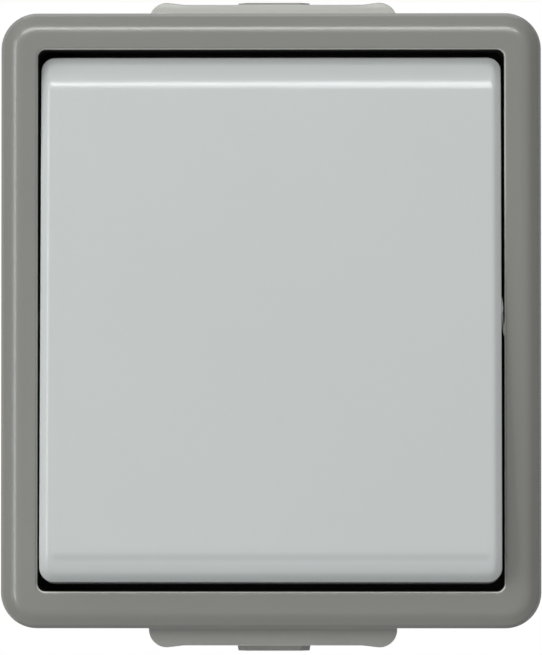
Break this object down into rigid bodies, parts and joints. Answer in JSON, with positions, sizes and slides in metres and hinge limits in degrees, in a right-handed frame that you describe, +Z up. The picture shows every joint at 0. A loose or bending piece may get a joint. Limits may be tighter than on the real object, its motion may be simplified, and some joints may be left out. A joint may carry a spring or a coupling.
{
  "type": "intermediate switch",
  "caption": "Surface-mounted grey splash-proof intermediate switch with a wide light rocker, a bevelled cover frame and a cable entry at top and bottom.",
  "frame": {"origin": "centre of the back face of the wall box, on the wall", "axes": "+Z up along the long side of the cover, +Y into the wall, so the rocker looks along -Y, +X to the right as seen from the front"},
  "size_m": [0.066, 0.0497, 0.0826],
  "materials": {
    "frame_plastic": "satin",
    "rocker_plastic": "satin",
    "box_plastic": "satin",
    "entry_plastic": "satin",
    "grommet_rubber": "matte",
    "seal_rubber": "matte",
    "insert_plastic": "matte",
    "toggle_plastic": "satin",
    "brass": "rolled strip",
    "clamp_brass": "bent sheet",
    "contact_metal": "pressed",
    "steel": "zinc plated",
    "spring_steel": "drawn"
  },
  "bodies": {
    "housing": {"base_box": "box_plastic", "cable_entry_bottom": "entry_plastic", "cable_entry_top": "entry_plastic", "cover_frame": "frame_plastic", "cover_gasket": "seal_rubber", "cover_screws": "steel", "cross_rail_lower": "brass", "cross_rail_upper": "brass", "entry_grommet_bottom": "grommet_rubber", "entry_grommet_top": "grommet_rubber", "feed_rail_left": "brass", "feed_rail_right": "brass", "fixed_contacts": "contact_metal", "insert_base": "insert_plastic", "insert_cover": "insert_plastic", "terminal_bottom_left": "clamp_brass", "terminal_bottom_right": "clamp_brass", "terminal_screws": "steel", "terminal_top_left": "clamp_brass", "terminal_top_right": "clamp_brass", "window_seal": "seal_rubber"},
    "rocker": {"rocker": "rocker_plastic"},
    "toggle": {"toggle": "toggle_plastic", "plunger_left": "toggle_plastic", "plunger_right": "toggle_plastic", "plunger_spring_left": "spring_steel", "plunger_spring_right": "spring_steel"},
    "lever_left": {"contact_lever_left": "brass", "lever_contacts_left": "contact_metal"},
    "lever_right": {"contact_lever_right": "brass", "lever_contacts_right": "contact_metal"}
  },
  "joints": [
    {"name": "rocker_tilt", "type": "hinge", "parent": "housing", "child": "rocker", "pos_m": [0, -0.0436, 0], "axis": [1, 0, 0], "range_deg": [0, 8.4]},
    {"name": "toggle_tilt", "type": "hinge", "parent": "housing", "child": "toggle", "pos_m": [0, -0.0308, 0], "axis": [1, 0, 0], "range_deg": [0, 8.4]},
    {"name": "lever_left_tilt", "type": "hinge", "parent": "housing", "child": "lever_left", "pos_m": [-0.008, -0.018, 0], "axis": [1, 0, 0], "range_deg": [-14, 0]},
    {"name": "lever_right_tilt", "type": "hinge", "parent": "housing", "child": "lever_right", "pos_m": [0.008, -0.018, 0], "axis": [1, 0, 0], "range_deg": [-14, 0]}
  ],
  "couplings": [
    {"joint": "toggle_tilt", "follows": "rocker_tilt", "ratio": 1},
    {"joint": "lever_left_tilt", "follows": "rocker_tilt", "ratio": -1.6666},
    {"joint": "lever_right_tilt", "follows": "rocker_tilt", "ratio": -1.6666}
  ]
}
